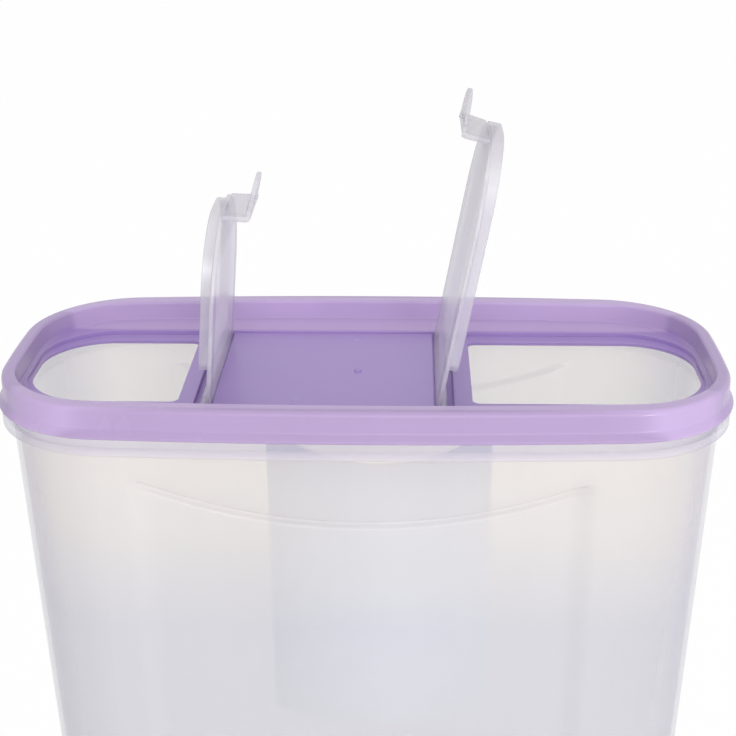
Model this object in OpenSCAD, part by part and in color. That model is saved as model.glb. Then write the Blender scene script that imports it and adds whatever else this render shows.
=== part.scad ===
/* [Overall] */
// Width over the lid's bead
body_w = 240; // [200:1:300]
// Depth over the lid's bead, front to back
body_d = 111.5; // [104:0.5:150]
// Height of the rim's crest above the table with the lid on
body_h = 230; // [170:1:320]
// Corner radius of the outline seen from above
corner_r = 37; // [34:0.5:42]
// Radius of the slight curve of the two long sides
side_r = 1440; // [900:10:3000]
// Radius of the slight curve of the two ends
end_r = 525; // [350:5:1200]

/* [Container] */
// Thickness of the side walls
wall_t = 1.6; // [1.2:0.1:2.2]
// Draft of the side walls, narrower towards the base
draft_a = 2.55; // [1.5:0.05:3]
// Thickness of the floor
floor_t = 2; // [1.2:0.1:4]
// Height of the foot ring under the floor
foot_h = 1.5; // [0.8:0.1:3]
// Width of the foot ring
foot_w = 3; // [2:0.1:5]
// Outer radius between the wall and the base
base_r = 6; // [4:0.5:8]
// Inner radius between the wall and the floor
floor_r = 5; // [3:0.5:7]
// Setback of the wall under the flange from the lid's outer face
wall_set = 2.5; // [2.2:0.1:3.5]
// Thickness of the upstand that the lid goes over
upstand_t = 1.2; // [0.9:0.05:1.4]
// How far the upstand's snap bead stands out
upstand_bead = 0.4; // [0.2:0.05:0.5]
// Gap between the lid's lower edge and the flange
flange_gap = 2.8; // [1:0.1:5]
// How far the flange stands out beyond the lid's outer face
flange_out = 0.8; // [0.4:0.1:1.4]
// Thickness of the flange
flange_t = 1.2; // [0.8:0.1:2]
// Height of the flange's lip
flange_h = 3.2; // [2.4:0.1:5]

/* [Grip recess] */
// Width of the recess in the front and in the back wall
grip_w = 140; // [80:1:150]
// Depth of the recess
grip_depth = 2.2; // [1:0.1:3]
// Radius of the curved upper and lower edge
grip_r = 195; // [140:5:400]
// Lowest point of the upper edge, below the rim's crest
grip_top = 39.7; // [36:0.1:60]
// Highest point of the lower edge, above the table
grip_low = 45; // [35:1:60]

/* [Lid] */
// How far the bead at the lower edge stands out
bead_out = 1.56; // [1.5:0.02:2.2]
// Height of the bead
bead_h = 2; // [1.6:0.1:3]
// Height of the lid's outer skirt
skirt_h = 10; // [9.6:0.1:12]
// Thickness of the skirt
skirt_t = 1; // [0.8:0.05:1.1]
// How far the snap bead inside the skirt stands in
skirt_bead = 0.35; // [0.15:0.05:0.4]
// Height of that bead above the skirt's lower edge
snap_h = 1; // [0.8:0.1:1.5]
// Clearance between the two snap beads, sideways
snap_clear = 0.15; // [0.1:0.05:0.3]
// Gap between the two snap beads, upwards
snap_rise = 0.5; // [0.3:0.1:1]
// Clearance between the lid and the upstand's top
lid_gap = 0.3; // [0.2:0.05:0.4]
// Thickness of the rim over the upstand
crest_t = 1.7; // [1.5:0.05:2]
// Outer radius of the rim's crest
crest_r = 2.2; // [1:0.1:2.2]
// Inner radius of the rim's crest
crest_in_r = 1.5; // [0.6:0.1:1.5]
// Width of the rim at the front and the back
rim_w = 7; // [6.4:0.1:9]
// Clearance between the rim's inner wall and the upstand at the ends
rim_gap = 0.5; // [0.3:0.05:0.8]
// How much the rim's inner wall leans outwards
rim_flare = 0.5; // [0.2:0.05:0.5]
// Corner radius of the sunken top
pocket_r = 30; // [28:0.5:32]
// Depth of the ledge round the flaps below the crest
ledge_depth = 6.6; // [6:0.1:7]
// Thickness of the lid's plate
plate_t = 1.4; // [1:0.05:1.6]

/* [Flap channel] */
// Width of the channel that the flaps lie in
channel_w = 67.4; // [62:0.2:70]
// Corner radius of the channel's ends
channel_r = 27; // [20:0.5:30]
// Depth of the channel's floor below the ledge
channel_depth = 1.5; // [1.2:0.05:2]
// Depth of the fixed deck between the flaps below the ledge
deck_depth = 0.8; // [0.3:0.05:1]
// Gap between the channel's end and the rim's inner wall
channel_end = 1.2; // [0.8:0.1:3]
// Bevel of the deck's two edges at the flaps
deck_bevel = 0.6; // [0.6:0.05:0.8]
// Radius of the round mould mark on the deck
mark_r = 1.1; // [0.6:0.1:2]
// Depth of the mould mark
mark_depth = 0.2; // [0.1:0.05:0.4]

/* [Openings] */
// Width of both openings
mouth_w = 54.8; // [44:0.2:56]
// Corner radius of the openings' far ends
mouth_r = 27; // [15:0.5:27.4]
// Corner radius of the openings at the hinges
mouth_hinge_r = 5.5; // [2:0.1:8]
// Gap between the openings' far ends and the channel's end
mouth_end = 1.8; // [1.2:0.1:4]
// Distance from the middle of the lid to the small opening
small_mouth_x = 59.8; // [57:0.1:70]
// Distance from the middle of the lid to the large opening
large_mouth_x = 35.2; // [32:0.1:45]

/* [Hinges] */
// Distance from the middle of the lid to the small flap's hinge
small_hinge_x = 50.4; // [40:0.1:52]
// Distance from the middle of the lid to the large flap's hinge
large_hinge_x = 25.1; // [15:0.1:27]
// Radius of the barrel along the flaps' hinge edge
barrel_r = 1.85; // [1.7:0.05:2.1]
// Radius of the hinge pins
pin_r = 1.2; // [0.9:0.05:1.3]
// Length of the pins beyond the barrel
pin_l = 2.3; // [1.6:0.1:2.6]
// Radial clearance of the pins in their sockets
pin_gap = 0.06; // [0.03:0.01:0.1]
// Width of the bosses that hold the sockets
boss_w = 5; // [4:0.1:6]
// Length of the bosses along the pins
boss_l = 3.2; // [3:0.1:4]
// Clearance round the barrel in its trough
barrel_gap = 0.15; // [0.1:0.05:0.3]
// Distance from the hinge to the far side of its trough
trough_l = 4.1; // [3:0.1:5]
// Thickness of the trough's wall
trough_t = 1.2; // [0.8:0.1:1.6]

/* [Flaps] */
// Thickness of the flaps
flap_t = 1.4; // [1:0.05:1.5]
// Gap between a flap and the channel's sides and end
flap_gap = 0.4; // [0.2:0.05:0.8]
// Gap between a closed flap and the channel's floor
flap_rest = 0.05; // [0.03:0.01:0.2]
// Depth of the plug ring below the flap
plug_h = 3.6; // [2:0.1:4.5]
// Thickness of the plug ring
plug_t = 1.2; // [0.8:0.1:1.6]
// Gap between the plug ring and the opening's sides
plug_gap = 0.2; // [0.15:0.05:0.6]
// Gap between the plug ring and the opening's ends
plug_end = 1.8; // [1.5:0.1:3]
// Clearance between a closed flap's finger tab and the rim's crest
tab_gap = 0.35; // [0.2:0.05:1]
// Width of the step
step_w = 26; // [16:0.5:34]
// Thickness of the step and of the finger tab
step_t = 1.4; // [1:0.05:1.8]
// Radius of the step seen from above
step_r = 27; // [20:0.5:60]
// Length of the finger tab beyond the step
tab_l = 8.9; // [6:0.1:14]
// Width of the finger tab
tab_w = 15; // [10:0.5:24]
// Corner radius of the tab's tip
tab_r = 5.5; // [2:0.5:7]
// Upward tilt of the small flap's tab
small_tab_a = 14; // [0:1:20]
// Upward tilt of the large flap's tab
large_tab_a = 4.5; // [0:0.5:20]
// How far the small flap stands open
small_open_a = 94.4; // [0:0.1:98]
// How far the large flap stands open
large_open_a = 79.3; // [0:0.1:98]

/* [Insert card] */
// Width of the card across its bow
card_w = 70; // [40:1:90]
// Height of the card
card_h = 98; // [60:1:120]
// Depth of the card's bow
card_bow = 10; // [5:0.5:15]
// Thickness of the card
card_t = 0.4; // [0.3:0.05:1]
// Depth of the card's upper edge below the rim's crest
card_drop = 17; // [15:0.5:30]
// Sideways place of the card's middle
card_x = 6; // [-15:0.5:15]
// Gap between the card's bowed middle and the front wall
card_gap = 0.2; // [0.1:0.05:0.3]

/* [Hidden] */

// fineness of the gentle arcs, of the corners and of small round parts
side_fn = 720;
end_fn = 480;
corner_fn = 96;
round_fn = 64;
fillet_steps = 5;

// how far the corners of a sweep lie inside and run under the long sides and the ends
seam = 0.02;
seam_a = 1;

// half height of a snap bead over its standout
bead_slope = 1.5;

// overlap of joined pieces, and how far a cut runs past a face
lap = 0.01;
past = 1;

// outlines as [half width, half depth, corner, side and end radius]
upstand_set = skirt_t + skirt_bead + snap_clear + upstand_bead;
rim_end_w = upstand_set + upstand_t + rim_gap + plate_t;
skin = [body_w / 2 - bead_out, body_d / 2 - bead_out, corner_r, side_r, end_r];
pocket = [skin[0] - rim_end_w, skin[1] - rim_w, pocket_r, side_r - rim_w, end_r - rim_end_w];

// heights above the table
ledge_z = body_h - ledge_depth;
channel_z = ledge_z - channel_depth;
deck_z = ledge_z - deck_depth;
pan_z = channel_z - plate_t;
skirt_z = body_h - skirt_h;
ceiling_z = body_h - crest_t;
upstand_z = ceiling_z - lid_gap;
flange_z = skirt_z - flange_gap;
wall_z = flange_z - flange_h;
floor_z = foot_h + floor_t;
snap_z = skirt_z + snap_h;
upstand_snap_z = snap_z + bead_slope * (skirt_bead + upstand_bead) + snap_rise;
flap_z = channel_z + flap_rest + flap_t;
step_h = body_h + tab_gap - flap_z;
hinge_z = flap_z - barrel_r;
trough_z = hinge_z - barrel_r - barrel_gap;

// lengths along the lid
foot_x = pocket[0];
channel_x = foot_x - channel_end;
mouth_x = channel_x - mouth_end;
flap_x = channel_x - flap_gap;
deck_edge = barrel_r + barrel_gap;
flap_w = channel_w - 2 * flap_gap;

// the outer setback of the drafted wall at height z
function wall_d(z) = -wall_set - (wall_z - z) * tan(draft_a);

// the centre of the arc that joins a long side to an end, and the angles where it starts and stops
function side_c(o) = o[3] - o[1];
function end_c(o) = o[4] - o[0];
function corner_k(o) = (pow(o[3] - o[2], 2) - pow(o[4] - o[2], 2) - pow(side_c(o), 2) + pow(end_c(o), 2)) / 2;
function corner_m(o) = end_c(o) / side_c(o);
function corner_n(o) = corner_k(o) / side_c(o) + side_c(o);
function corner_s(o) = pow(corner_n(o), 2) - pow(o[3] - o[2], 2);
function corner_q(o) = pow(corner_m(o) * corner_n(o), 2) - (1 + pow(corner_m(o), 2)) * corner_s(o);
function corner_x(o) = (sqrt(corner_q(o)) - corner_m(o) * corner_n(o)) / (1 + pow(corner_m(o), 2));
function corner_y(o) = corner_m(o) * corner_x(o) + corner_k(o) / side_c(o);
function side_a(o) = atan2(corner_y(o) + side_c(o), corner_x(o));
function end_a(o) = atan2(corner_y(o), corner_x(o) + end_c(o));

// points on a quarter fillet about c, from angle a0 to a1
function fillet(c, r, a0, a1) =
    [for (i = [0:fillet_steps]) let (a = a0 + (a1 - a0) * i / fillet_steps) c + r * [cos(a), sin(a)]];

// one corner of a sweep, a hair inside its neighbours and lapping under them
module sweep_corner(o, profile, start) {
    rotate_extrude(angle = side_a(o) - end_a(o) + 2 * seam_a, start = start - seam_a, $fn = corner_fn)
        translate([o[2] - seam, 0]) polygon(profile);
}

// carries a closed profile, as [distance outside the outline, height], round the outline
module sweep(o, profile) {
    side = side_a(o);
    end = end_a(o);
    for (turn = [0, 180])
        rotate([0, 0, turn]) {
            translate([0, -side_c(o), 0])
                rotate_extrude(angle = 180 - 2 * side, start = side, $fn = side_fn)
                    translate([o[3], 0]) polygon(profile);
            translate([-end_c(o), 0, 0])
                rotate_extrude(angle = 2 * end, start = -end, $fn = end_fn)
                    translate([o[4], 0]) polygon(profile);
            translate([corner_x(o), corner_y(o), 0]) sweep_corner(o, profile, end);
            translate([-corner_x(o), corner_y(o), 0]) sweep_corner(o, profile, 180 - side);
        }
}

// the flat-sided middle of a filled outline, inset from it
module middle(o, inset, z0, z1) {
    r = o[2] - inset;
    e = [corner_x(o) + r * cos(end_a(o)), corner_y(o) + r * sin(end_a(o))];
    s = [corner_x(o) + r * cos(side_a(o)), corner_y(o) + r * sin(side_a(o))];
    translate([0, 0, z0])
        linear_extrude(z1 - z0)
            polygon([e, s, [-s[0], s[1]], [-e[0], e[1]], -e, -s, [s[0], -s[1]], [e[0], -e[1]]]);
}

// fills an outline whose edge follows the given points, from the lowest to the highest
module filled(o, edge) {
    inner = 4 - o[2];
    low = edge[0][1];
    high = edge[len(edge) - 1][1];
    sweep(o, concat([[inner, low]], edge, [[inner, high]]));
    middle(o, o[2] - 12, low, high);
}

// a plain slab of an outline moved out by d
module slab(o, d, z0, z1) {
    filled(o, [[d, z0], [d, z1]]);
}

// a flat bar from x0 to x1, w wide, square at x0 and with corner radius r, at most half the width, at x1
module end_bar(x0, x1, w, r) {
    round_r = min(r, w / 2 - lap);
    mid = x1 - round_r;
    difference() {
        union() {
            for (side = [-1, 1])
                translate([mid, side * (w / 2 - round_r)]) circle(round_r, $fn = corner_fn);
            translate([x0 - past, -w / 2]) square([mid - x0 + past, w]);
            translate([mid - lap, round_r - w / 2]) square([round_r + lap, w - 2 * round_r]);
        }
        translate([x0 - 2 * round_r - past, -w / 2 - past])
            square([2 * round_r + past, w + 2 * past]);
    }
}

// the same bar with corner radius r0 at x0
module mouth_bar(x0, x1, w, r0, r1) {
    end_bar(x0 + r0, x1, w, r1);
    mirror([1, 0]) end_bar(-x0 - r0 - lap, -x0, w, r0);
}

// a block along y, w wide, with its outline as [x, z]
module block_y(w, outline) {
    rotate([90, 0, 0])
        linear_extrude(w, center = true) polygon(outline);
}

// the outer and the inner face of the walls, moved in by d
module wall_outside(d) {
    base = wall_d(base_r) - d;
    filled(skin, concat(
        fillet([base - base_r, base_r], base_r, -90, 0),
        [[wall_d(wall_z) - d, wall_z]]));
}

module wall_inside(d) {
    base = wall_d(floor_z + floor_r) - wall_t - d;
    top = wall_d(wall_z) - wall_t - d;
    upstand = -upstand_set - upstand_t - d;
    filled(skin, concat(
        fillet([base - floor_r, floor_z + floor_r], floor_r, -90, 0),
        [[top, wall_z], [top, flange_z - flange_t], [upstand, flange_z], [upstand, upstand_z + past]]));
}

// the region in front of and behind the grip recess, grown by d all round
module grip_region(d) {
    high_z = body_h - grip_top + grip_r;
    low_z = grip_low - grip_r;
    difference() {
        translate([-grip_w / 2 - d, -body_d, low_z])
            cube([grip_w + 2 * d, 2 * body_d, high_z - low_z]);
        for (z = [low_z, high_z])
            translate([0, 0, z])
                rotate([90, 0, 0]) cylinder(h = 3 * body_d, r = grip_r - d, center = true, $fn = side_fn);
    }
}

module container() {
    wall = wall_d(wall_z);
    upstand = -upstand_set;
    bead = bead_slope * upstand_bead;
    color([0.88, 0.87, 0.91])
    difference() {
        union() {
            difference() {
                wall_outside(0);
                difference() {
                    grip_region(0);
                    wall_outside(grip_depth);
                }
            }
            // flange with its lip, and the upstand with its snap bead
            sweep(skin, [
                [wall - wall_t - past, wall_z],
                [wall, wall_z],
                [wall, flange_z - flange_t],
                [flange_out - flange_t, flange_z - flange_t],
                [flange_out - flange_t, wall_z],
                [flange_out, wall_z],
                [flange_out, flange_z - flange_t / 3],
                [flange_out - flange_t / 3, flange_z],
                [upstand, flange_z],
                [upstand, upstand_snap_z - bead],
                [upstand + upstand_bead, upstand_snap_z],
                [upstand, upstand_snap_z + bead],
                [upstand, upstand_z - upstand_t / 4],
                [upstand - upstand_t / 4, upstand_z],
                [wall - wall_t - past, upstand_z]
            ]);
        }
        difference() {
            wall_inside(0);
            grip_region(wall_t);
        }
        wall_inside(grip_depth);
        slab(skin, wall_d(0) - base_r - foot_w, -past, foot_h);
    }
}

module insert_card() {
    r = (pow(card_w / 2, 2) + pow(card_bow, 2)) / (2 * card_bow);
    z = body_h - card_drop - card_h * cos(draft_a);
    wall_y = skin[1] + wall_d(z) - wall_t - grip_depth;
    color([0.72, 0.86, 0.93])
    translate([card_x, card_gap - wall_y, z])
        rotate([draft_a, 0, 0])
            linear_extrude(card_h)
                intersection() {
                    translate([-card_w / 2, 0]) square([card_w, card_bow]);
                    translate([0, r])
                        difference() {
                            circle(r, $fn = end_fn);
                            circle(r - card_t, $fn = end_fn);
                        }
                }
}

// what one flap adds to the underside of the lid
module hinge_walls(hinge_x) {
    block_y(channel_w + 2 * trough_t, [
        [hinge_x - deck_edge - trough_t, trough_z - trough_t],
        [hinge_x + trough_l + trough_t, trough_z - trough_t],
        [hinge_x + trough_l + trough_t, pan_z + lap],
        [hinge_x - deck_edge - trough_t, pan_z + lap]
    ]);
    for (side = [-1, 1])
        translate([hinge_x - boss_w / 2, side * (channel_w + boss_l) / 2 - boss_l / 2, hinge_z - boss_w / 2])
            cube([boss_w, boss_l, ledge_z - plate_t / 2 - hinge_z + boss_w / 2]);
}

// what one flap takes out of the lid
module hinge_cuts(hinge_x, mouth_near) {
    translate([0, 0, channel_z])
        linear_extrude(channel_depth + past)
            end_bar(hinge_x, channel_x, channel_w, channel_r);
    block_y(channel_w, [
        [hinge_x - deck_edge, trough_z],
        [hinge_x + trough_l, trough_z],
        [hinge_x + trough_l, ledge_z],
        [hinge_x - deck_edge - deck_bevel, ledge_z],
        [hinge_x - deck_edge - deck_bevel, deck_z],
        [hinge_x - deck_edge, deck_z - deck_bevel]
    ]);
    translate([hinge_x, 0, hinge_z])
        rotate([90, 0, 0])
            cylinder(h = flap_w + 2 * pin_l + 2 * barrel_gap, r = pin_r + pin_gap, center = true, $fn = round_fn);
    translate([0, 0, pan_z - past])
        linear_extrude(plate_t + channel_depth + 2 * past)
            mouth_bar(mouth_near, mouth_x, mouth_w, mouth_hinge_r, mouth_r);
}

module lid() {
    color([0.70, 0.63, 0.78])
    difference() {
        union() {
            difference() {
                // the rim with its bead and rounded crest
                filled(skin, concat(
                    [[bead_out / 2, skirt_z], [bead_out, skirt_z + bead_h / 4],
                     [bead_out, skirt_z + bead_h * 3 / 4], [0, skirt_z + bead_h]],
                    fillet([-crest_r, body_h - crest_r], crest_r, 0, 90)));
                // the sunken top
                filled(pocket, concat(
                    [[0, ledge_z]],
                    fillet([rim_flare + crest_in_r, body_h - crest_in_r], crest_in_r, 180, 90),
                    [[rim_flare + crest_in_r, body_h + past]]));
                // the hollow underneath, round the inner wall and below the ledge
                difference() {
                    filled(skin, [
                        [-skirt_t, skirt_z - past],
                        [-skirt_t, snap_z - bead_slope * skirt_bead],
                        [-skirt_t - skirt_bead, snap_z],
                        [-skirt_t, snap_z + bead_slope * skirt_bead],
                        [-skirt_t, ceiling_z]
                    ]);
                    slab(pocket, plate_t, ledge_z - plate_t, body_h);
                }
            }
            // the pan under the channel
            translate([0, 0, pan_z])
                linear_extrude(ledge_z - plate_t / 2 - pan_z)
                    for (turn = [0, 180])
                        rotate(turn) end_bar(-lap, channel_x + plate_t, channel_w + 2 * plate_t, channel_r + plate_t);
            hinge_walls(large_hinge_x);
            mirror([1, 0, 0]) hinge_walls(small_hinge_x);
        }
        // the deck between the flaps
        translate([-small_hinge_x, -channel_w / 2, deck_z])
            cube([small_hinge_x + large_hinge_x, channel_w, deck_depth + past]);
        translate([0, 0, deck_z - mark_depth])
            cylinder(h = mark_depth + past, r = mark_r, $fn = round_fn);
        hinge_cuts(large_hinge_x, large_mouth_x);
        mirror([1, 0, 0]) hinge_cuts(small_hinge_x, small_mouth_x);
    }
}

// a closed flap along +x from its hinge axis, for an opening that starts at mouth_near
module flap(hinge_x, mouth_near, tab_a) {
    end = flap_x - hinge_x;
    plug_x0 = mouth_near + plug_end - hinge_x;
    plug_x1 = mouth_x - plug_end - hinge_x;
    plug_w = mouth_w - 2 * plug_gap;
    plug_r = mouth_r - plug_gap;
    under = barrel_r - flap_t;
    top = barrel_r + step_h;
    tab_back = step_r - sqrt(pow(step_r, 2) - pow(tab_w / 2, 2));
    translate([0, 0, under])
        linear_extrude(flap_t) end_bar(0, end, flap_w, channel_r - flap_gap);
    rotate([90, 0, 0]) {
        cylinder(h = flap_w, r = barrel_r, center = true, $fn = round_fn);
        cylinder(h = flap_w + 2 * pin_l, r = pin_r, center = true, $fn = round_fn);
    }
    // the ring that plugs the opening
    translate([0, 0, under - plug_h])
        linear_extrude(plug_h + lap)
            difference() {
                mouth_bar(plug_x0, plug_x1, plug_w, mouth_hinge_r, plug_r);
                mouth_bar(plug_x0 + plug_t, plug_x1 - plug_t, plug_w - 2 * plug_t,
                    mouth_hinge_r - plug_t, plug_r - plug_t);
            }
    // the curved step and the finger tab
    translate([0, 0, barrel_r - lap])
        linear_extrude(step_h + step_t + lap)
            intersection() {
                translate([end - step_r, 0])
                    difference() {
                        circle(step_r, $fn = corner_fn);
                        circle(step_r - step_t, $fn = corner_fn);
                    }
                translate([end - step_r, -step_w / 2]) square([2 * step_r, step_w]);
            }
    translate([end - step_t, 0, top])
        rotate([0, -tab_a, 0])
            linear_extrude(step_t) end_bar(-tab_back, step_t + tab_l, tab_w, tab_r);
}

module small_flap() {
    color([0.88, 0.86, 0.92])
    translate([-small_hinge_x, 0, hinge_z])
        mirror([1, 0, 0])
            rotate([0, -small_open_a, 0]) flap(small_hinge_x, small_mouth_x, small_tab_a);
}

module large_flap() {
    color([0.88, 0.86, 0.92])
    translate([large_hinge_x, 0, hinge_z])
        rotate([0, -large_open_a, 0]) flap(large_hinge_x, large_mouth_x, large_tab_a);
}

container();
insert_card();
lid();
small_flap();
large_flap();
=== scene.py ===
import math
import bpy
import numpy as np
from mathutils import Matrix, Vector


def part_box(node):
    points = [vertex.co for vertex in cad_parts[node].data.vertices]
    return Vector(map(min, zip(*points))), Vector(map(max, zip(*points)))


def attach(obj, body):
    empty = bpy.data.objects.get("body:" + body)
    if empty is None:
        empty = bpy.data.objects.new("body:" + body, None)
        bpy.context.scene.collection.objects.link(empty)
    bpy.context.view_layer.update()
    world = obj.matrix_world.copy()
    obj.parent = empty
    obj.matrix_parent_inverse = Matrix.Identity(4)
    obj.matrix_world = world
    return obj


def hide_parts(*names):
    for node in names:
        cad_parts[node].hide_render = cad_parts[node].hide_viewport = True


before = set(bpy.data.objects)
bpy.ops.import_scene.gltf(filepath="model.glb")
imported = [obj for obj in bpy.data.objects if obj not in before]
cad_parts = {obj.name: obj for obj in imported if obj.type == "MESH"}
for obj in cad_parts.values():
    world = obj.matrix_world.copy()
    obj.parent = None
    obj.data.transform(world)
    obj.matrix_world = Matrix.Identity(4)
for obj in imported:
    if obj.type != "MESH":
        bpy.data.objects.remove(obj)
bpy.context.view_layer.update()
print("frame loaded")

mm = 0.001  # sizes below are in mm, meshes and places in metres
flatArea = 25 * mm * mm  # a face larger than this is a flat one
rimZ = round(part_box("lid")[1].z / mm, 2)  # height of the lid's crest

# the lid's outline seen from above: half sizes and the radii of its eight arcs
skin = {"halfW": 118.44, "halfD": 54.19, "cornerR": 37.0, "sideR": 1440.0, "endR": 525.0}
pocket = {"halfW": 113.44, "halfD": 47.19, "cornerR": 30.0, "sideR": 1433.0, "endR": 520.0}
columns = {"side": 40, "corner": 22, "end": 9}


# Where the circle of cornerR touches both the side arc and the end arc from inside.
def cornerCentre(o):
    p = o["sideR"] - o["halfD"]
    q = o["endR"] - o["halfW"]
    k = ((o["sideR"] - o["cornerR"]) ** 2 - (o["endR"] - o["cornerR"]) ** 2 - p * p + q * q) / 2
    m = q / p
    n = k / p + p
    s = n * n - (o["sideR"] - o["cornerR"]) ** 2
    x = (math.sqrt((m * n) ** 2 - (1 + m * m) * s) - m * n) / (1 + m * m)
    return x, m * x + k / p


# Rays round the outline, counterclockwise: a centre, a radius and a heading for each column.
def arcsOf(o, sideXs=None):
    p = o["sideR"] - o["halfD"]
    q = o["endR"] - o["halfW"]
    cx, cy = cornerCentre(o)
    sideA = math.atan2(cy + p, cx)
    endA = math.atan2(cy, cx + q)
    if sideXs is None:
        side = np.linspace(sideA, math.pi - sideA, columns["side"])
    else:
        side = np.arccos(np.clip(sideXs / o["sideR"], -math.cos(sideA), math.cos(sideA)))
    corner = np.linspace(endA, sideA, columns["corner"])[1:-1]
    end = np.linspace(-endA, endA, columns["end"])
    centres, radii, angles = [], [], []
    for turn in (0.0, math.pi):
        flip = math.cos(turn)
        for centre, radius, part in (
            ((-q, 0.0), o["endR"], end),
            ((cx, cy), o["cornerR"], corner),
            ((0.0, -p), o["sideR"], side),
            ((-cx, cy), o["cornerR"], math.pi - corner[::-1]),
        ):
            centres.append(np.tile(np.array(centre) * flip, (len(part), 1)))
            radii.append(np.full(len(part), radius))
            angles.append(part + turn)
    angles = np.concatenate(angles)
    return np.concatenate(centres), np.concatenate(radii), np.stack([np.cos(angles), np.sin(angles)], 1)


# The same rays round a straight bar from x0 to x1 with corner radius r0 at x0 and r1 at x1.
def barOf(x0, x1, halfW, r0, r1):
    corner = np.linspace(0, math.pi / 2, columns["corner"])[1:-1]
    parts = []
    for x, r, sx, sy in ((x1, r1, 1, 1), (x0, r0, -1, 1), (x0, r0, -1, -1), (x1, r1, 1, -1)):
        parts.append((np.array([x - sx * r, sy * (halfW - r)]), r, sx, sy))
    c, r, a = [], [], []

    def add(points, radius, angles):
        c.append(points)
        r.append(np.full(len(angles), radius))
        a.append(angles)

    def line(first, second, count, radius0, radius1, angle):
        t = np.linspace(0, 1, count)[:, None]
        c.append(first * (1 - t) + second * t)
        r.append((radius0 * (1 - t) + radius1 * t)[:, 0])
        a.append(np.full(count, angle))

    (c1, ra, _, _), (c2, rb, _, _), (c3, _, _, _), (c4, _, _, _) = parts
    line(c4, c1, columns["end"], ra, ra, 0.0)
    add(np.tile(c1, (len(corner), 1)), ra, corner)
    line(c1, c2, columns["side"], ra, rb, math.pi / 2)
    add(np.tile(c2, (len(corner), 1)), rb, math.pi / 2 + corner)
    line(c2, c3, columns["end"], rb, rb, math.pi)
    add(np.tile(c3, (len(corner), 1)), rb, math.pi + corner)
    line(c3, c4, columns["side"], rb, ra, 1.5 * math.pi)
    add(np.tile(c4, (len(corner), 1)), ra, 1.5 * math.pi + corner)
    angles = np.concatenate(a)
    return np.concatenate(c), np.concatenate(r), np.stack([np.cos(angles), np.sin(angles)], 1)


# One ring of points: the outline moved out by d, at height z. Both may be arrays.
def row(rays, d, z):
    centre, radius, heading = rays
    flat = centre + (radius + d)[:, None] * heading
    return np.column_stack([flat, np.broadcast_to(z, len(flat))])


# A polyline with each corner replaced by an arc of the given radius.
# A point just before and after each arc keeps the flats flat in smooth shading.
def rounded(points, radii, steps=6, closed=False, guard=0.06):
    pts = np.array(points, float)
    count = len(pts)
    out = []
    for i in range(count):
        here, r = pts[i], radii[i]
        if r <= 0 or (not closed and i in (0, count - 1)):
            out.append(here[None])
            continue
        a = pts[i - 1] - here
        b = pts[(i + 1) % count] - here
        a, b = a / np.linalg.norm(a), b / np.linalg.norm(b)
        half = math.acos(np.clip(a @ b, -1, 1)) / 2
        reach = r / math.tan(half)
        middle = here + (a + b) / np.linalg.norm(a + b) * r / math.sin(half)
        start = here + a * reach - middle
        stop = here + b * reach - middle
        sweep = math.pi - 2 * half
        side = np.sign(start[0] * stop[1] - start[1] * stop[0])
        t = np.linspace(0, sweep * side, steps + 1)
        arc = middle + np.stack([np.cos(t) * start[0] - np.sin(t) * start[1],
                                 np.sin(t) * start[0] + np.cos(t) * start[1]], 1)
        out.append(np.concatenate([(here + a * (reach + guard))[None], arc, (here + b * (reach + guard))[None]]))
    return np.concatenate(out)


# Joins rings of equal length into a shell: capped by its first and last ring, or closed on itself.
def tube(rows, closed=False):
    rows = np.asarray(rows)
    m, n = rows.shape[:2]
    index = np.arange(m * n).reshape(m, n)
    if closed:
        index = np.concatenate([index, index[:1]])
    a, b = index[:-1], index[1:]
    quads = np.stack([a, np.roll(a, -1, 1), np.roll(b, -1, 1), b], -1).reshape(-1, 4)
    faces = quads.tolist()
    if not closed:
        faces += [index[0][::-1].tolist(), index[-1].tolist()]
    points = rows.reshape(-1, 3)
    tri = np.concatenate([points[quads[:, [0, 1, 2]]], points[quads[:, [0, 2, 3]]]])
    if not closed:
        for ring, turn in ((rows[0][::-1], 1), (rows[-1], 1)):
            fan = np.stack([np.broadcast_to(ring[0], (n - 2, 3)), ring[1:-1], ring[2:]], 1)
            tri = np.concatenate([tri, fan])
    volume = np.einsum("ij,ij->i", tri[:, 0], np.cross(tri[:, 1], tri[:, 2])).sum()
    if volume < 0:
        faces = [f[::-1] for f in faces]
    return points, faces


# One object from closed shells given in mm, smooth but for edges sharper than sharp degrees.
def piece(name, shells, material, body, nodes=(), sharp=38):
    points, faces, first = [], [], 0
    for p, f in shells:
        points.append(p)
        faces += [[i + first for i in face] for face in f]
        first += len(p)
    mesh = bpy.data.meshes.new(name)
    mesh.from_pydata(np.concatenate(points) * mm, [], faces)
    mesh.validate()
    mesh.shade_smooth()
    mesh.set_sharp_from_angle(angle=math.radians(sharp))
    mesh.materials.append(material)
    made = bpy.data.objects.new(name, mesh)
    bpy.context.scene.collection.objects.link(made)
    if body:
        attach(made, body)
    if nodes:
        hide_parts(*nodes)
    print(name, len(mesh.vertices), "points")
    return made


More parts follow.
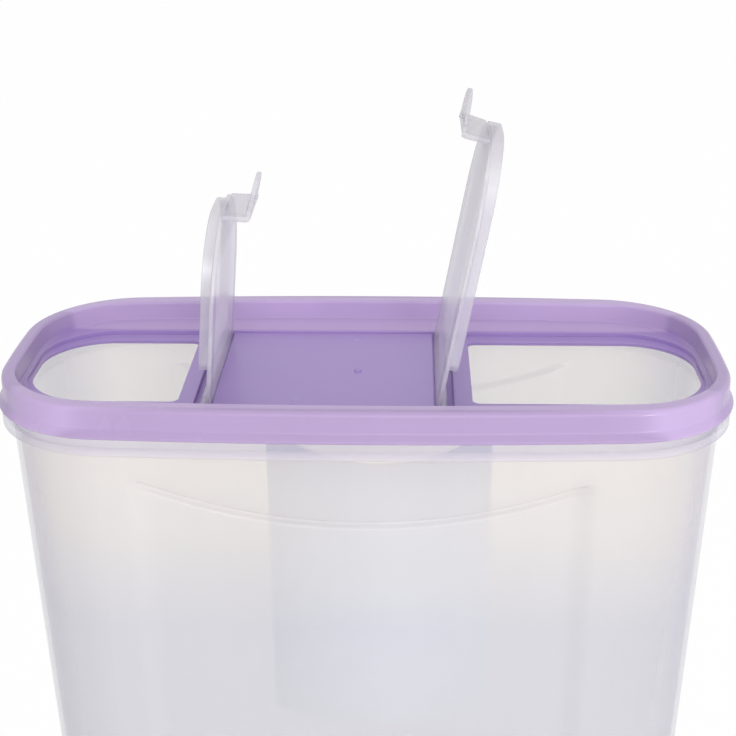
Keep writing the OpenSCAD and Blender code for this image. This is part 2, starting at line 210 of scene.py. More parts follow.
# The same from shells that overlap, cut to one skin by exact unions.
def united(name, shells, material, body, nodes, sharp=38):
    parts = [piece(name if i == 0 else f"{name}_part{i}", [s], material, None) for i, s in enumerate(shells)]
    whole = parts[0]
    for other in parts[1:]:
        union = whole.modifiers.new("union", "BOOLEAN")
        union.operation = "UNION"
        union.solver = "EXACT"
        union.object = other
    bpy.context.view_layer.update()
    mesh = bpy.data.meshes.new_from_object(whole.evaluated_get(bpy.context.evaluated_depsgraph_get()))
    whole.modifiers.clear()
    whole.data = mesh
    for other in parts[1:]:
        bpy.data.objects.remove(other)
    mesh.shade_smooth()
    mesh.set_sharp_from_angle(angle=math.radians(sharp))
    area = np.empty(len(mesh.polygons))
    mesh.polygons.foreach_get("area", area)
    mesh.polygons.foreach_set("use_smooth", area < flatArea)
    mesh.name = name
    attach(whole, body)
    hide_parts(*nodes)
    print(name, "united,", len(mesh.vertices), "points")
    return whole


# An sRGB colour of 0 to 255 as linear light.
def colour(r, g, b):
    c = np.array([r, g, b]) / 255
    return (*np.where(c <= 0.04045, c / 12.92, ((c + 0.055) / 1.055) ** 2.4), 1.0)


# Moulded plastic: slow changes of tone, flow streaks down the part and a fine skin.
def moulding():
    group = bpy.data.node_groups.new("moulding", "ShaderNodeTree")
    face = group.interface
    for socket, kind, value in (
        ("Colour", "NodeSocketColor", (1, 1, 1, 1)),
        ("Tone", "NodeSocketFloat", 0.05),
        ("Roughness", "NodeSocketFloat", 0.3),
        ("Spread", "NodeSocketFloat", 0.05),
        ("Skin", "NodeSocketFloat", 0.1),
    ):
        s = face.new_socket(socket, in_out="INPUT", socket_type=kind)
        s.default_value = value
    face.new_socket("Colour", in_out="OUTPUT", socket_type="NodeSocketColor")
    face.new_socket("Roughness", in_out="OUTPUT", socket_type="NodeSocketFloat")
    face.new_socket("Normal", in_out="OUTPUT", socket_type="NodeSocketVector")
    node, link = group.nodes.new, group.links.new
    given, out = node("NodeGroupInput"), node("NodeGroupOutput")
    where = node("ShaderNodeTexCoord")
    slow, streak, fine = node("ShaderNodeTexNoise"), node("ShaderNodeTexNoise"), node("ShaderNodeTexNoise")
    stretch = node("ShaderNodeMapping")
    stretch.inputs["Scale"].default_value = (60, 60, 6)
    slow.inputs["Scale"].default_value = 18
    streak.inputs["Scale"].default_value = 1
    fine.inputs["Scale"].default_value = 900
    for n in (slow, streak, fine):
        n.inputs["Detail"].default_value = 3
    link(where.outputs["Object"], slow.inputs["Vector"])
    link(where.outputs["Object"], stretch.inputs["Vector"])
    link(stretch.outputs[0], streak.inputs["Vector"])
    link(where.outputs["Object"], fine.inputs["Vector"])
    mixed = node("ShaderNodeMath")
    mixed.operation = "ADD"
    link(slow.outputs["Fac"], mixed.inputs[0])
    link(streak.outputs["Fac"], mixed.inputs[1])

    # middle plus amount times how far source is from its mean of 1.
    def around(source, middle, amount):
        off = node("ShaderNodeMath")
        off.operation = "SUBTRACT"
        off.inputs[1].default_value = 1.0
        link(source, off.inputs[0])
        grown = node("ShaderNodeMath")
        grown.operation = "MULTIPLY_ADD"
        link(off.outputs[0], grown.inputs[0])
        link(amount, grown.inputs[1])
        if isinstance(middle, float):
            grown.inputs[2].default_value = middle
        else:
            link(middle, grown.inputs[2])
        return grown.outputs[0]

    tone = around(mixed.outputs[0], 1.0, given.outputs["Tone"])
    tinted = node("ShaderNodeVectorMath")
    tinted.operation = "SCALE"
    link(given.outputs["Colour"], tinted.inputs[0])
    link(tone, tinted.inputs["Scale"])
    link(tinted.outputs[0], out.inputs["Colour"])
    link(around(mixed.outputs[0], given.outputs["Roughness"], given.outputs["Spread"]), out.inputs["Roughness"])
    bump = node("ShaderNodeBump")
    bump.inputs["Distance"].default_value = 0.0001
    link(given.outputs["Skin"], bump.inputs["Strength"])
    link(fine.outputs["Fac"], bump.inputs["Height"])
    link(bump.outputs["Normal"], out.inputs["Normal"])
    return group


skinGroup = moulding()


# A material on the moulding group; plain holds the shader values that are the same all over.
def plastic(name, base, tone, roughness, spread, skin, plain):
    made = bpy.data.materials.new(name)
    made.use_nodes = True
    tree = made.node_tree
    shader = tree.nodes["Principled BSDF"]
    group = tree.nodes.new("ShaderNodeGroup")
    group.node_tree = skinGroup
    for socket, value in (
        ("Colour", base), ("Tone", tone), ("Roughness", roughness), ("Spread", spread), ("Skin", skin),
    ):
        group.inputs[socket].default_value = value
    tree.links.new(group.outputs["Colour"], shader.inputs["Base Color"])
    tree.links.new(group.outputs["Roughness"], shader.inputs["Roughness"])
    tree.links.new(group.outputs["Normal"], shader.inputs["Normal"])
    for socket, value in plain.items():
        shader.inputs[socket].default_value = value
    return made


rampTop = 320.0  # height in mm at which the tone ramps end


# Paints the photograph's shades over a material's own colour: a tone that follows the height through
# the given stops, then casts, each of which mixes in a tint by a smooth step of the distance from the
# middle along one axis. Without this call the material has its own even colour.
def paintLightAndShadeByPlace(material, stops, casts):
    tree = material.node_tree
    node, link = tree.nodes.new, tree.links.new
    where, split = node("ShaderNodeTexCoord"), node("ShaderNodeSeparateXYZ")
    link(where.outputs["Object"], split.inputs[0])
    ramp, height = node("ShaderNodeValToRGB"), node("ShaderNodeMapRange")
    height.inputs["From Max"].default_value = rampTop * mm
    link(split.outputs["Z"], height.inputs["Value"])
    link(height.outputs[0], ramp.inputs[0])
    marks = ramp.color_ramp.elements
    while len(marks) < len(stops):
        marks.new(0.5)
    for mark, (z, tint) in zip(marks, stops):
        mark.position = z / rampTop
        mark.color = colour(*tint)
    tone = ramp.outputs[0]
    for axis, near, far, amount, tint in casts:
        off, grow, mixed = node("ShaderNodeMath"), node("ShaderNodeMapRange"), node("ShaderNodeMix")
        off.operation = "ABSOLUTE"
        grow.interpolation_type = "SMOOTHSTEP"
        grow.inputs["From Min"].default_value = near * mm
        grow.inputs["From Max"].default_value = far * mm
        grow.inputs["To Max"].default_value = amount
        mixed.data_type = "RGBA"
        link(split.outputs[axis], off.inputs[0])
        link(off.outputs[0], grow.inputs["Value"])
        link(grow.outputs[0], mixed.inputs[0])
        link(tone, mixed.inputs[6])
        mixed.inputs[7].default_value = colour(*tint)
        tone = mixed.outputs[2]
    group = next(n for n in tree.nodes if n.type == "GROUP")
    link(tone, group.inputs["Colour"])


lavender = plastic("lavender", colour(182, 160, 202), 0.05, 0.26, 0.06, 0.12,
                   {"IOR": 1.49, "Specular IOR Level": 0.22, "Coat Weight": 0.05, "Coat Roughness": 0.1})
# Painted shade and light on the lid: the deck, troughs and channel floor below 223.2 mm darker, the ledge and inner
# walls beyond 33 mm from the middle lighter, and the outer faces and ends near the lid's own colour.
paintLightAndShadeByPlace(lavender, ((218, (172, 147, 207)), (223.2, (172, 147, 207)), (225.5, (182, 160, 202))),
            (("Y", 33, 36, 1.0, (199, 176, 219)), ("Y", 50, 52.5, 1.0, (180, 158, 199)),
             ("X", 108, 114, 1.0, (184, 163, 206))))
clearTub = plastic("clear_tub", colour(240, 236, 236), 0.05, 0.2, 0.05, 0.1,
                   {"IOR": 1.45, "Alpha": 0.34, "Coat Weight": 0.3, "Coat Roughness": 0.06})
# Painted light and shade on the tub: greyer towards the bottom, a warm light band between 188 and 213 mm, a darker
# lavender band at the flange, painted light over the shaded gap under the lid from 217.6 mm up, and darker
# blue-violet towards both ends.
paintLightAndShadeByPlace(clearTub, ((150, (221, 220, 227)), (188, (244, 238, 233)), (213, (248, 241, 234)),
                       (214.5, (228, 221, 235)), (217, (230, 223, 236)), (217.6, (252, 248, 252))),
            (("X", 94, 117, 0.6, (187, 182, 212)),))
# Both flaps are one milky plastic: milky_small is a lighter copy and milky_large a darker copy, painted light and
# shade for how each flap is lit.
milkySmall = plastic("milky_small", colour(244, 241, 249), 0.02, 0.3, 0.08, 0.12, {"IOR": 1.45, "Alpha": 0.5})
# Painted shade on the small flap: darker towards its free end above 265 mm, over the step and tab, and in bands
# along both side edges.
paintLightAndShadeByPlace(milkySmall, ((240, (246, 243, 250)), (265, (246, 243, 250)), (270, (218, 214, 224))),
            (("Y", 25.3, 26.8, 1.0, (212, 208, 220)),))
milkyLarge = plastic("milky_large", colour(232, 228, 238), 0.02, 0.3, 0.08, 0.12, {"IOR": 1.45, "Alpha": 0.5})
# Painted shade on the large flap: darker towards its free end, most from 296 mm up over the step and tab, and in
# bands along both side edges.
paintLightAndShadeByPlace(milkyLarge, ((250, (240, 236, 246)), (296, (226, 223, 230)), (301, (206, 202, 212))),
            (("Y", 25.3, 26.8, 1.0, (212, 208, 220)),))
paleCard = plastic("pale_card", colour(238, 242, 250), 0.03, 0.6, 0.05, 0.3, {"IOR": 1.4})
# Painted shade on the card: lighter towards the bottom and darker and bluer towards the top.
paintLightAndShadeByPlace(paleCard, ((110, (250, 252, 255)), (160, (242, 246, 253)), (205, (203, 214, 238))), ())
print("materials made")


camera = {
    "azimuth": 1.791, "elevation": 21.997, "roll": -0.324,  # degrees
    "distance": 506.53, "targetX": 0.801, "targetBelowRim": 7.183,
    "lens": 73.512, "sensor": 36.0,
}


# Puts a camera or lamp at a point in metres, with its own x, y and z along the three directions.
def place(thing, right, up, back, at):
    thing.matrix_world = Matrix([[*line, at[i]] for i, line in enumerate(zip(right, up, back))] + [[0, 0, 0, 1]])


# Looks along +Y at azimuth 0, turned about the vertical, tilted down and rolled.
def makeCamera(s):
    az, el, roll = (math.radians(s[k]) for k in ("azimuth", "elevation", "roll"))
    back = np.array([math.sin(az) * math.cos(el), -math.cos(az) * math.cos(el), math.sin(el)])
    right = np.array([math.cos(az), math.sin(az), 0.0])
    up = np.cross(back, right)
    turnedRight = right * math.cos(roll) + up * math.sin(roll)
    turnedUp = np.cross(back, turnedRight)
    target = np.array([s["targetX"], 0.0, rimZ - s["targetBelowRim"]])
    eye = (target + back * s["distance"]) * mm
    data = bpy.data.cameras.new("camera")
    data.sensor_width = s["sensor"]
    data.lens = s["lens"]
    data.clip_start = 0.01
    data.clip_end = 50
    made = bpy.data.objects.new("camera", data)
    bpy.context.scene.collection.objects.link(made)
    place(made, turnedRight, turnedUp, back, eye)
    bpy.context.scene.camera = made


makeCamera(camera)
print("camera placed")


tub = {
    "wall": 1.6, "draft": 2.55, "floor": 2.0, "foot": 1.5, "footW": 3.0, "baseR": 6.0, "floorR": 5.0,
    "wallSet": 2.5, "upstandSet": 1.9, "upstandT": 1.2, "bead": 0.4,
    "flangeBelow": 12.8, "flangeOut": 0.8, "flangeT": 1.2, "flangeH": 3.2, "flangeRise": 2.2,
    "topBelow": 2.0, "beadBelow": 7.37,
    "gripW": 140.0, "gripDepth": 2.2, "gripR": 195.0, "gripTopBelow": 39.7, "gripLow": 45.0,
    "topEdge": 0.9, "sideEdge": 4.0, "lowEdge": 9.0,
    "groove": 0.75, "grooveAt": 1.5, "grooveW": 1.3, "innerStep": 17.8,
}


# Rings from the middle of the underside over the wall and the flange to the middle of the floor.
# The grip recess moves the wall in where a smooth step of the distance to its edge says so.
def makeTub(s):
    flangeZ = rimZ - s["flangeBelow"]
    wallZ = flangeZ - s["flangeH"]
    floorZ = s["foot"] + s["floor"]
    half = s["gripW"] / 2
    near = np.arange(half - 7, half + 8.5, 1.0)
    middle = np.linspace(8.5 - half, half - 8.5, 34)
    xs = np.concatenate([[97.0, 87.0], near[::-1], middle[::-1], -near, [-87.0, -97.0]])
    rays = arcsOf(skin, xs)
    x, y = (rays[0] + rays[1][:, None] * rays[2]).T
    arcX = np.clip(np.abs(x), 0, half)
    drop = s["gripR"] - np.sqrt(s["gripR"] ** 2 - arcX ** 2)
    slope = np.sqrt(1 - (arcX / s["gripR"]) ** 2)
    arcTop = rimZ - s["gripTopBelow"] + drop
    arcLow = s["gripLow"] - drop

    def wallD(z):
        return -s["wallSet"] - (wallZ - z) * math.tan(math.radians(s["draft"]))

    # a smooth step that reaches half at the edge and is as wide as twice edge
    def ramp(distance, edge):
        t = np.clip(distance / (2 * edge) + 0.5, 0, 1)
        return t * t * (3 - 2 * t)

    # one inside the recess, zero outside, and in front a little more in the groove along its upper arc
    def recess(z, grown):
        below = (arcTop - z) * slope + grown
        groove = s["groove"] * (y < 0) * np.exp(-((below - s["grooveAt"]) / s["grooveW"]) ** 2)
        return (ramp(half - np.abs(x) + grown, s["sideEdge"]) * (ramp(below, s["topEdge"]) + groove)
                * ramp((z - arcLow) * slope + grown, s["lowEdge"]))

    # Rings between heights z0 and z1 whose lines follow the curved edges of the recess.
    def wallRows(z0, z1, inside):
        grown = s["wall"] if inside else 0.0
        steps = np.array([-1.3, -1.0, -0.7, -0.35, 0, 0.35, 0.7, 1.0, 1.3])
        heights = [np.full(len(x), z0)]
        lowEdge, topEdge = arcLow - grown, arcTop + grown
        heights += [z0 + (lowEdge - z0) * t for t in (0.2, 0.4, 0.55)]
        heights += [lowEdge + t for t in steps * 7]
        heights += [lowEdge + 11 + (topEdge - lowEdge - 15) * t for t in np.linspace(0, 1, 14)]
        heights += [topEdge + t for t in (-3.2, -2.6, -2.1, -1.7)]
        heights += [topEdge + t for t in steps]
        heights += [topEdge + (z1 - topEdge) * t for t in (0.4, 0.7)]
        heights.append(np.full(len(x), z1))
        return [row(rays, wallD(z) - grown - s["gripDepth"] * recess(z, grown), z) for z in heights]

    base = wallD(s["baseR"])
    footIn = base - s["baseR"] - s["footW"]
    under = rounded([(footIn - 8, s["foot"]), (footIn, s["foot"]), (footIn, 0), (base, 0), (base, s["baseR"] + 0.5)],
                    [0, 0.4, 0.4, s["baseR"], 0], steps=8)
    wall = -s["wallSet"]
    stepZ = rimZ - s["innerStep"]
    up = -s["upstandSet"]
    edge = s["flangeOut"]
    bead = rimZ - s["beadBelow"]
    top = rounded(
        [(wall, wallZ), (wall, flangeZ - s["flangeT"]), (edge - s["flangeT"], flangeZ - s["flangeT"]),
         (edge - s["flangeT"], wallZ), (edge, wallZ), (edge, flangeZ), (up, flangeZ + s["flangeRise"]),
         (up, bead - 1), (up + s["bead"], bead), (up, bead + 1), (up, rimZ - s["topBelow"]),
         (up - s["upstandT"], rimZ - s["topBelow"]), (up - s["upstandT"], stepZ + 1.4),
         (wallD(stepZ) - s["wall"], stepZ), (wallD(stepZ - 1) - s["wall"], stepZ - 1)],
        [0, 0.5, 0.4, 0.3, 0.35, 0.6, 0.3, 0.3, 0.3, 0.3, 0.4, 0.4, 0.5, 0.5, 0], steps=4)
    inBase = wallD(floorZ + s["floorR"]) - s["wall"]
    inside = rounded([(inBase, floorZ + s["floorR"] + 0.5), (inBase, floorZ), (footIn - 8, floorZ)],
                     [0, s["floorR"], 0], steps=8)
    rows = [row(rays, d, z) for d, z in under[:-1]]
    rows += wallRows(under[-1][1], wallZ, False)
    rows += [row(rays, d, z) for d, z in top[1:-1]]
    rows += wallRows(inside[0][1], stepZ - 1, True)[::-1]
    rows += [row(rays, d, z) for d, z in inside[1:]]
    piece("tub", [tube(rows)], clearTub, "tub", ["container"])


makeTub(tub)


lid = {
    "beadOut": 1.56, "beadH": 3.1, "beadEdge": 0.9, "skirtH": 10.0, "skirtT": 1.0,
    "crestT": 1.7, "crestR": 1.7, "crestInR": 1.1,
    "flare": 0.5, "ledge": 6.6, "plate": 1.4,
    "channelW": 33.7, "channelR": 25.5, "channelX": 112.24, "channel": 8.1, "deck": 7.4, "bevel": 0.6,
    "mouthW": 27.4, "mouthR": 22.5, "mouthHingeR": 2.8, "mouthX": 111.3,
    "smallMouth": 59.8, "largeMouth": 35.2, "smallHinge": 50.4, "largeHinge": 25.1,
    "barrelRoom": 1.9, "troughL": 4.1, "trough": 10.5, "troughT": 1.2,
    "bossL": 3.2, "bossBack": 4.0, "bossFront": 5.4,
    "markR": 1.3, "markH": 0.8, "markX": -2.5, "markY": -2.3,
}


# The rim, its skirt and the ledge round the flap channel, as one closed ring of rows:
# down the inner wall and out over the ledge on one side, round the crest and the skirt on the other.
def makeRim(s):
    outer, inner = arcsOf(skin), arcsOf(pocket)
    channel = barOf(-s["channelX"], s["channelX"], s["channelW"], s["channelR"], s["channelR"])
    ledgeZ = rimZ - s["ledge"]
    panZ = rimZ - s["channel"] - s["plate"]
    skirtZ = rimZ - s["skirtH"]
    topIn = s["flare"] + s["crestInR"]
    wallIn = rounded([(-0.5, ledgeZ), (0, ledgeZ), (s["flare"], rimZ), (topIn + 0.3, rimZ)],
                     [0, 0.4, s["crestInR"], 0], steps=8)
    outside = rounded(
        [(-s["crestR"] - 0.3, rimZ), (0, rimZ), (0, skirtZ + s["beadH"]), (s["beadOut"], skirtZ + s["beadEdge"]),
         (s["beadOut"], skirtZ), (-s["skirtT"], skirtZ), (-s["skirtT"], rimZ - s["crestT"]),
         (-s["skirtT"] - 1.2, rimZ - s["crestT"])],
        [0, s["crestR"], 1.3, 0.45, 0.4, 0.3, 0.3, 0], steps=7)
    rows = [row(inner, d, z) for d, z in wallIn]
    rows += [row(outer, d, z) for d, z in outside]
    rows += [row(inner, s["plate"], rimZ - s["crestT"]), row(inner, s["plate"], ledgeZ - s["plate"]),
             row(channel, s["plate"], ledgeZ - s["plate"]), row(channel, s["plate"], panZ)]
    edge = rounded([(0.6, panZ), (0, panZ), (0, ledgeZ), (0.6, ledgeZ)], [0, 0.2, 0.25, 0], steps=4)
    rows += [row(channel, d, z) for d, z in edge]
    return tube(rows, closed=True)


# The channel's floor round one opening: a closed ring between the channel's edge and the opening's.
def makeFloor(s, sign, hinge, mouth):
    z = rimZ - s["channel"]
    sunk = 0.25
    far = hinge + s["troughL"]
    outer = barOf(far, s["channelX"] + sunk, s["channelW"] + sunk, 0.2, s["channelR"] + sunk)
    inner = barOf(mouth, s["mouthX"], s["mouthW"], s["mouthHingeR"], s["mouthR"])
    low = z - s["plate"] + 0.1
    lip = rounded([(0.8, z), (0, z), (0, low), (0.8, low)], [0, 0.25, 0.25, 0], steps=4)
    rim = rounded([(-0.5, low), (0, low), (0, z), (-0.5, z)], [0, 0.1, 0.15, 0], steps=3, guard=0.02)
    rows = [row(inner, d, h) for d, h in lip] + [row(outer, d, h) for d, h in rim]
    points, faces = tube(rows, closed=True)
    return points * np.array([sign, 1, 1]), faces if sign > 0 else [f[::-1] for f in faces]


# The deck and the two hinge troughs: one outline in x and z carried from front to back.
def makeDeck(s):
    left, right = -s["smallHinge"], s["largeHinge"]
    room, far, t = s["barrelRoom"], s["troughL"] + 0.1, s["troughT"]
    deckZ, lowZ, lipZ = rimZ - s["deck"], rimZ - s["trough"], rimZ - s["channel"] + 0.03
    b = s["bevel"]
    outline = [
        (left - far, lipZ), (left - far, lowZ), (left + room, lowZ), (left + room, deckZ - b),
        (left + room + b, deckZ), (right - room - b, deckZ), (right - room, deckZ - b), (right - room, lowZ),
        (right + far, lowZ), (right + far, lipZ), (right + far + t, lipZ), (right + far + t, lowZ - t),
        (right - room - t, lowZ - t), (right - room - t, deckZ - s["plate"]),
        (left + room + t, deckZ - s["plate"]), (left + room + t, lowZ - t), (left - far - t, lowZ - t),
        (left - far - t, lipZ)]
    radii = [0.5, 0.5, 0.5, 0.3, 0.4, 0.4, 0.3, 0.5, 0.5, 0.5, 0.5] + [0.1] * 6 + [0.5]
    section = rounded(outline, radii, steps=4, closed=True, guard=0.03)
    half = s["channelW"] + 0.3
    rows = [np.column_stack([section[:, 0], np.full(len(section), y), section[:, 1]])
            for y in (-half, -half / 2, 0, half / 2, half)]
    return tube(rows)


# The block at one end of a trough, under the ledge. It is solid: the hinge pins run into it.
def makeBoss(s, x, side):
    y0, y1 = s["channelW"] - 0.08, s["channelW"] + s["bossL"]
    bar = barOf(-s["bossBack"], s["bossFront"], (y1 - y0) / 2, 0.4, 0.4)
    low, high = rimZ - s["trough"] - s["troughT"], rimZ - s["ledge"] - s["plate"] / 2
    profile = rounded([(-0.8, low), (0, low), (0, high)], [0, 0.4, 0], steps=3)
    rows = [row(bar, d, z) for d, z in profile]
    points, faces = tube(rows)
    sign = math.copysign(1, x)
    points = points * np.array([sign, 1, 1]) + np.array([x, side * (y0 + y1) / 2, 0])
    return points, faces if sign > 0 else [f[::-1] for f in faces]


# The round mark where the mould was fed: a flat dome on the deck.
def makeMark(s):
    t = np.linspace(0, 2 * math.pi, 33)[:-1]
    rows = []
    for share in np.linspace(1, 0.1, 7):
        height = s["markH"] * math.sqrt(1 - share ** 2) + rimZ - s["deck"]
        rows.append(np.column_stack([s["markX"] + share * s["markR"] * np.cos(t),
                                     s["markY"] + share * s["markR"] * np.sin(t), np.full(len(t), height)]))
    low = rows[0] - np.array([0, 0, 0.3])
    return tube([low] + rows)


# The lid's shells, which meet or overlap, as one object.
def makeLid(s):
    shells = [makeRim(s), makeFloor(s, 1, s["largeHinge"], s["largeMouth"]),
              makeFloor(s, -1, s["smallHinge"], s["smallMouth"]), makeDeck(s), makeMark(s)]
    shells += [makeBoss(s, x, side) for x in (-s["smallHinge"], s["largeHinge"]) for side in (-1, 1)]
    piece("lid_shell", shells, lavender, "lid", ["lid"])


makeLid(lid)


flap = {
    "thick": 1.4, "halfW": 33.3, "endR": 30.0, "endX": 111.84, "edge": 0.35,
    "barrelR": 1.85, "pinR": 1.2, "pinL": 2.3,
    "plugH": 3.5, "plugT": 1.2, "plugGap": 0.2, "plugNear": 0.4,
    "stepR": 27.0, "stepW": 14.0, "stepT": 1.4, "tabGap": 0.35, "cornerR": 1.6,
    "tabL": 7.35, "tabW": 11.0, "tabTurn": 80, "tabSquare": 0.75, "tabFillet": 2.0,
    "rest": 0.05,
}
# angles in degrees; openAngle is from shut to the open place of the photograph
smallFlap = {"sign": -1, "hinge": lid["smallHinge"], "mouth": lid["smallMouth"], "openAngle": 94.4,
             "tabAngle": 14.0, "lean": 1.3, "short": 1.6, "plugFar": 2.5, "stepOut": 0.7}
largeFlap = {"sign": 1, "hinge": lid["largeHinge"], "mouth": lid["largeMouth"], "openAngle": 79.3,
             "tabAngle": 5.0, "lean": 4.5, "short": 1.8, "plugFar": 1.0, "stepOut": 0.9}


# A plate with rounded edges round a bar outline, from height low to high.
def flatPlate(bar, low, high, edge, steps=4):
    profile = rounded([(-edge - 0.25, low), (0, low), (0, high), (-edge - 0.25, high)],
                      [0, edge, edge, 0], steps=steps)
    return tube([row(bar, d, z) for d, z in profile])


# A profile of [radius, y] turned about the y axis.
def revolveY(profile, count=48):
    t = np.linspace(0, 2 * math.pi, count + 1)[:-1]
    return tube([np.column_stack([r * np.cos(t), np.full(count, y), r * np.sin(t)]) for r, y in profile])


# A shell turned by angle in the x-z plane about pivot, so that +x rises.
def turned(shell, angle, pivot):
    points, faces = shell
    c, s = math.cos(angle), math.sin(angle)
    px, pz = pivot
    x, z = points[:, 0] - px, points[:, 2] - pz
    return np.column_stack([x * c - z * s + px, points[:, 1], x * s + z * c + pz]), faces


# The arc that the step follows in plan: how far out it lies at each v across the flap.
def stepArc(s, end, v, inset=0.0):
    radius = s["stepR"] - inset
    return end - s["stepR"] + np.sqrt(radius ** 2 - v ** 2)


# The step: a flat wall across the flap between two heights with rounded lower corners, bent to the step's arc.
def stepWall(s, end, low, high):
    w, t, r = s["stepW"], s["stepT"], s["cornerR"]
    face = rounded([(-w + 0.2, low), (w - 0.2, low), (w, high), (-w, high)], [0.1, 0.1, r, r], steps=6, closed=True)
    middle = face.mean(0)
    rows = []
    for inset, shrink in ((t, 0.4), (t - 0.12, 0.12), (t - 0.4, 0), (0.4, 0), (0.12, 0.12), (0, 0.4)):
        flat = face - np.sign(face - middle) * np.minimum(shrink, abs(face - middle))
        rows.append(np.column_stack([stepArc(s, end, flat[:, 0], inset), flat[:, 0], flat[:, 1]]))
    return tube(rows)


# The tab: a flange along the top of the step that swells through two hollow fillets into a rounded tongue.
# Its rim is a curve of (distance out from the step, v), part of an ellipse whose cosine is raised to
# a power below one, which squares it, and each section runs from the step out to the rim and
# back at the other height, and the whole rises away from the arc's centre as a cone of that slope does.
def tongue(s, end, low, high, slope):
    w, n, length, t = s["stepW"] - 0.3, s["tabW"], s["tabL"], s["stepT"]
    a = np.radians(np.linspace(-s["tabTurn"], s["tabTurn"], 61))
    tip = np.column_stack([length * np.cos(a) ** s["tabSquare"], n * np.sin(a)])
    foot = np.array([(-0.1, -w), (0, -n - s["tabFillet"]), (0.2, -n - s["tabFillet"] / 2), (0.8, -n - 0.15)])
    rim = np.concatenate([foot, tip, foot[::-1] * (1, -1)])
    along = np.gradient(rim, axis=0)
    normal = np.column_stack([along[:, 1], -along[:, 0]]) / np.linalg.norm(along, axis=1)[:, None]
    r = 0.28
    bend = [(r * (1 - math.sin(a)), r * (1 - math.cos(a))) for a in np.linspace(0, math.pi / 2, 5)]
    edge = [(inset, low + rise) for inset, rise in bend] + [(inset, high - rise) for inset, rise in bend[::-1]]
    spread = (0, 0.3, 0.6, 0.85)
    sections = []
    for share, z in [(k, low) for k in spread]:
        sections.append((share, 0.0, z))
    sections += [(1, inset, z) for inset, z in edge]
    sections += [(k, 0.0, high) for k in spread[::-1]]
    rows = []
    for share, inset, z in sections:
        flat = rim - normal * inset
        flat = np.column_stack([-t + 0.1 + (flat[:, 0] - r * (share < 1) + t - 0.1) * share, flat[:, 1]])
        out = stepArc(s, end, flat[:, 1]) + flat[:, 0]
        rise = (np.hypot(out - end + s["stepR"], flat[:, 1]) - s["stepR"]) * slope
        rows.append(np.column_stack([out, flat[:, 1], z + rise]))
    return tube(np.transpose(rows, (1, 0, 2)))


# A flap made closed, along +x from its hinge axis, and then swung open.
def makeFlap(name, body, material, s, l, own):
    sign, hinge, stepOut = own["sign"], own["hinge"], own["stepOut"]
    end = s["endX"] - hinge
    under, top = s["barrelR"] - s["thick"], s["barrelR"]
    stepTop = top + l["channel"] - s["rest"] - s["thick"] + s["tabGap"]
    plate = flatPlate(barOf(0, end - own["short"], s["halfW"], 1.0, s["endR"]), under, top, s["edge"])
    r, w, p = s["barrelR"], s["halfW"], s["pinR"]
    barrel = revolveY(rounded([(0.3, -w - s["pinL"]), (p, -w - s["pinL"]), (p, -w), (r, -w), (r, w), (p, w),
                               (p, w + s["pinL"]), (0.3, w + s["pinL"])],
                              [0, 0.2, 0.1, 0.25, 0.25, 0.1, 0.2, 0], steps=3))
    plugIn = barOf(own["mouth"] + s["plugNear"] - hinge, l["mouthX"] - own["plugFar"] - hinge,
                   l["mouthW"] - s["plugGap"], l["mouthHingeR"] + 1.5, l["mouthR"] - s["plugGap"])
    t = s["plugT"]
    ring = rounded([(0, under + 0.6), (0, under - s["plugH"]), (-t, under - s["plugH"]), (-t, under + 0.6)],
                   [0.1, 0.45, 0.45, 0.1], steps=4, closed=True)
    plug = tube([row(plugIn, d, z) for d, z in ring], closed=True)
    step = stepWall(s, end + stepOut, top - 0.6, stepTop + s["stepT"])
    tab = tongue(s, end + stepOut, stepTop, stepTop + s["stepT"], math.tan(math.radians(own["tabAngle"])))
    step, tab = (turned(shell, -math.radians(own["lean"]), (end, top)) for shell in (step, tab))
    pivot = np.array([sign * hinge, 0, rimZ - l["channel"] + s["rest"] + s["thick"] - s["barrelR"]])
    shells = []
    for shell in (plate, barrel, plug, step, tab):
        points, faces = turned(shell, math.radians(own["openAngle"]), (0, 0))
        points = points * np.array([sign, 1, 1]) + pivot
        shells.append((points, faces if sign > 0 else [f[::-1] for f in faces]))
    united(name, shells, material, body, [body])


makeFlap("flap_small", "small_flap", milkySmall, flap, lid, smallFlap)
makeFlap("flap_large", "large_flap", milkyLarge, flap, lid, largeFlap)


card = {
    "w": 72.0, "h": 104.0, "bow": 10.0, "thick": 0.4, "topBelow": 17.0, "x": 5.3, "gap": 1.9,
    "notchW": 27.0, "notch": 4.4,
}


# A sheet bowed to the arc through its chord and its bow, leaning with the wall in front of it.
def makeCard(s, t):
    lean = math.radians(t["draft"])
    radius = (s["w"] ** 2 / 4 + s["bow"] ** 2) / (2 * s["bow"])
    half = math.asin(s["w"] / 2 / radius)
    low = rimZ - s["topBelow"] - s["h"] * math.cos(lean)
    wallZ = rimZ - t["flangeBelow"] - t["flangeH"]
    wallD = -t["wallSet"] - (wallZ - low) * math.tan(lean)
    y0 = -(skin["halfD"] + wallD - t["wall"] - t["gripDepth"]) + s["gap"]
    a = np.linspace(-half, half, 41)
    front = np.column_stack([radius * np.sin(a), radius - radius * np.cos(a)])
    back = np.column_stack([(radius - s["thick"]) * np.sin(a), radius - (radius - s["thick"]) * np.cos(a)])
    section = np.concatenate([front, back[::-1]])
    rows = []
    for v in np.linspace(0, s["h"], 12):
        x, y = section[:, 0] + s["x"], section[:, 1]
        cut = s["notch"] * np.clip(1 - (section[:, 0] / s["notchW"]) ** 2, 0, 1) * v / s["h"]
        up = v - cut
        rows.append(np.column_stack([x, y0 + y * math.cos(lean) - up * math.sin(lean),
                                     low + up * math.cos(lean) + y * math.sin(lean)]))
    piece("card", [tube(rows)], paleCard, "tub", ["insert_card"])


makeCard(card, tub)


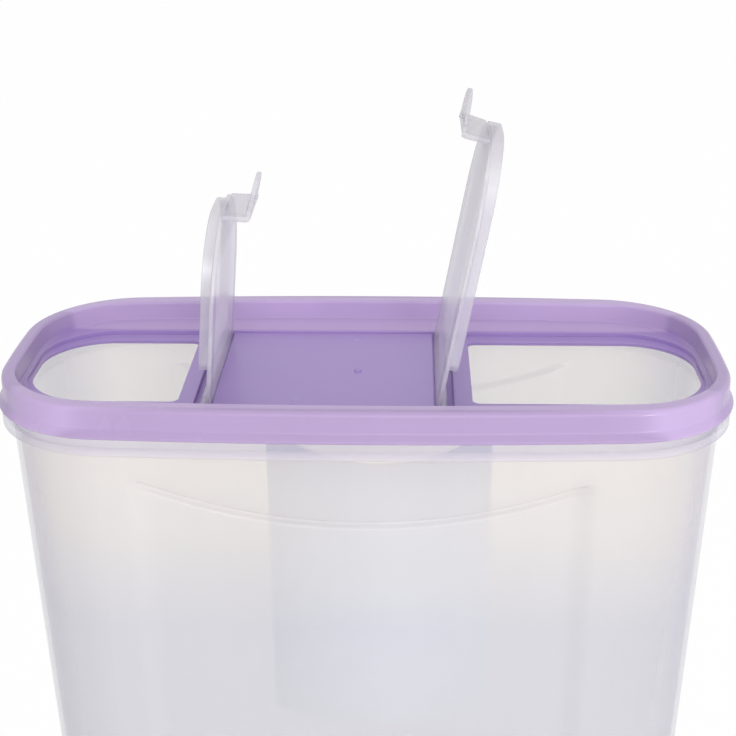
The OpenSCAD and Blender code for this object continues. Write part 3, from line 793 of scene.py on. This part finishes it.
stage = {"floorHalf": 6.0, "sky": 0.56, "paper": 0.72, "seen": 0.985, "lamps": (
    # name, x, y, z in metres, size, watts
    ("key", 0.15, -1.9, 0.9, 1.2, 13.7),
    ("fill", 0.9, -1.6, 0.22, 0.4, 9.0),
    ("top", 0.0, 0.4, 1.8, 1.4, 5.0),
)}


# One where the camera, gloss or clear plastic looks at a material, else zero.
def looksAt(tree):
    path = tree.nodes.new("ShaderNodeLightPath")
    either = tree.nodes.new("ShaderNodeMath")
    either.operation = "MAXIMUM"
    tree.links.new(path.outputs["Is Camera Ray"], either.inputs[0])
    glossy = tree.nodes.new("ShaderNodeMath")
    glossy.operation = "MAXIMUM"
    tree.links.new(path.outputs["Is Glossy Ray"], glossy.inputs[0])
    tree.links.new(path.outputs["Is Transmission Ray"], glossy.inputs[1])
    tree.links.new(glossy.outputs[0], either.inputs[1])
    return either.outputs[0]


# The world and the floor look white but light the part plainly; the lamps aim at the lid.
def makeStage(s):
    world = bpy.data.worlds.new("world")
    bpy.context.scene.world = world
    world.use_nodes = True
    tree = world.node_tree
    back = tree.nodes["Background"]
    white = tree.nodes.new("ShaderNodeBackground")
    back.inputs[0].default_value = (1, 1, 1, 1)
    back.inputs[1].default_value = s["sky"]
    white.inputs[0].default_value = (1, 1, 1, 1)
    white.inputs[1].default_value = 1.0
    mix = tree.nodes.new("ShaderNodeMixShader")
    tree.links.new(looksAt(tree), mix.inputs[0])
    tree.links.new(back.outputs[0], mix.inputs[1])
    tree.links.new(white.outputs[0], mix.inputs[2])
    tree.links.new(mix.outputs[0], tree.nodes["World Output"].inputs[0])

    half = s["floorHalf"]
    mesh = bpy.data.meshes.new("floor")
    mesh.from_pydata([(-half, -half, 0), (half, -half, 0), (half, half, 0), (-half, half, 0)], [], [(0, 1, 2, 3)])
    floor = bpy.data.objects.new("floor", mesh)
    bpy.context.scene.collection.objects.link(floor)
    paper = bpy.data.materials.new("paper")
    paper.use_nodes = True
    tree = paper.node_tree
    shader = tree.nodes["Principled BSDF"]
    shader.inputs["Base Color"].default_value = (*[s["paper"]] * 3, 1)
    shader.inputs["Roughness"].default_value = 0.9
    shader.inputs["Specular IOR Level"].default_value = 0.0
    glow = tree.nodes.new("ShaderNodeEmission")
    glow.inputs[1].default_value = 1.0
    seen = tree.nodes.new("ShaderNodeMath")
    seen.operation = "MULTIPLY"
    seen.inputs[1].default_value = s["seen"]
    tree.links.new(looksAt(tree), seen.inputs[0])
    mix = tree.nodes.new("ShaderNodeMixShader")
    tree.links.new(seen.outputs[0], mix.inputs[0])
    tree.links.new(shader.outputs[0], mix.inputs[1])
    tree.links.new(glow.outputs[0], mix.inputs[2])
    tree.links.new(mix.outputs[0], tree.nodes["Material Output"].inputs[0])
    mesh.materials.append(paper)

    for name, x, y, z, size, watts in s["lamps"]:
        data = bpy.data.lights.new(name, "AREA")
        data.shape = "DISK"
        data.size = size
        data.energy = watts
        lamp = bpy.data.objects.new(name, data)
        bpy.context.scene.collection.objects.link(lamp)
        aim = np.array([0, 0, rimZ * mm]) - np.array([x, y, z])
        z2 = -aim / np.linalg.norm(aim)
        x2 = np.cross([0, 1, 0.01], z2)
        x2 /= np.linalg.norm(x2)
        place(lamp, x2, np.cross(z2, x2), z2, (x, y, z))


makeStage(stage)
bpy.context.scene.view_settings.view_transform = "Standard"
print("stage lit")
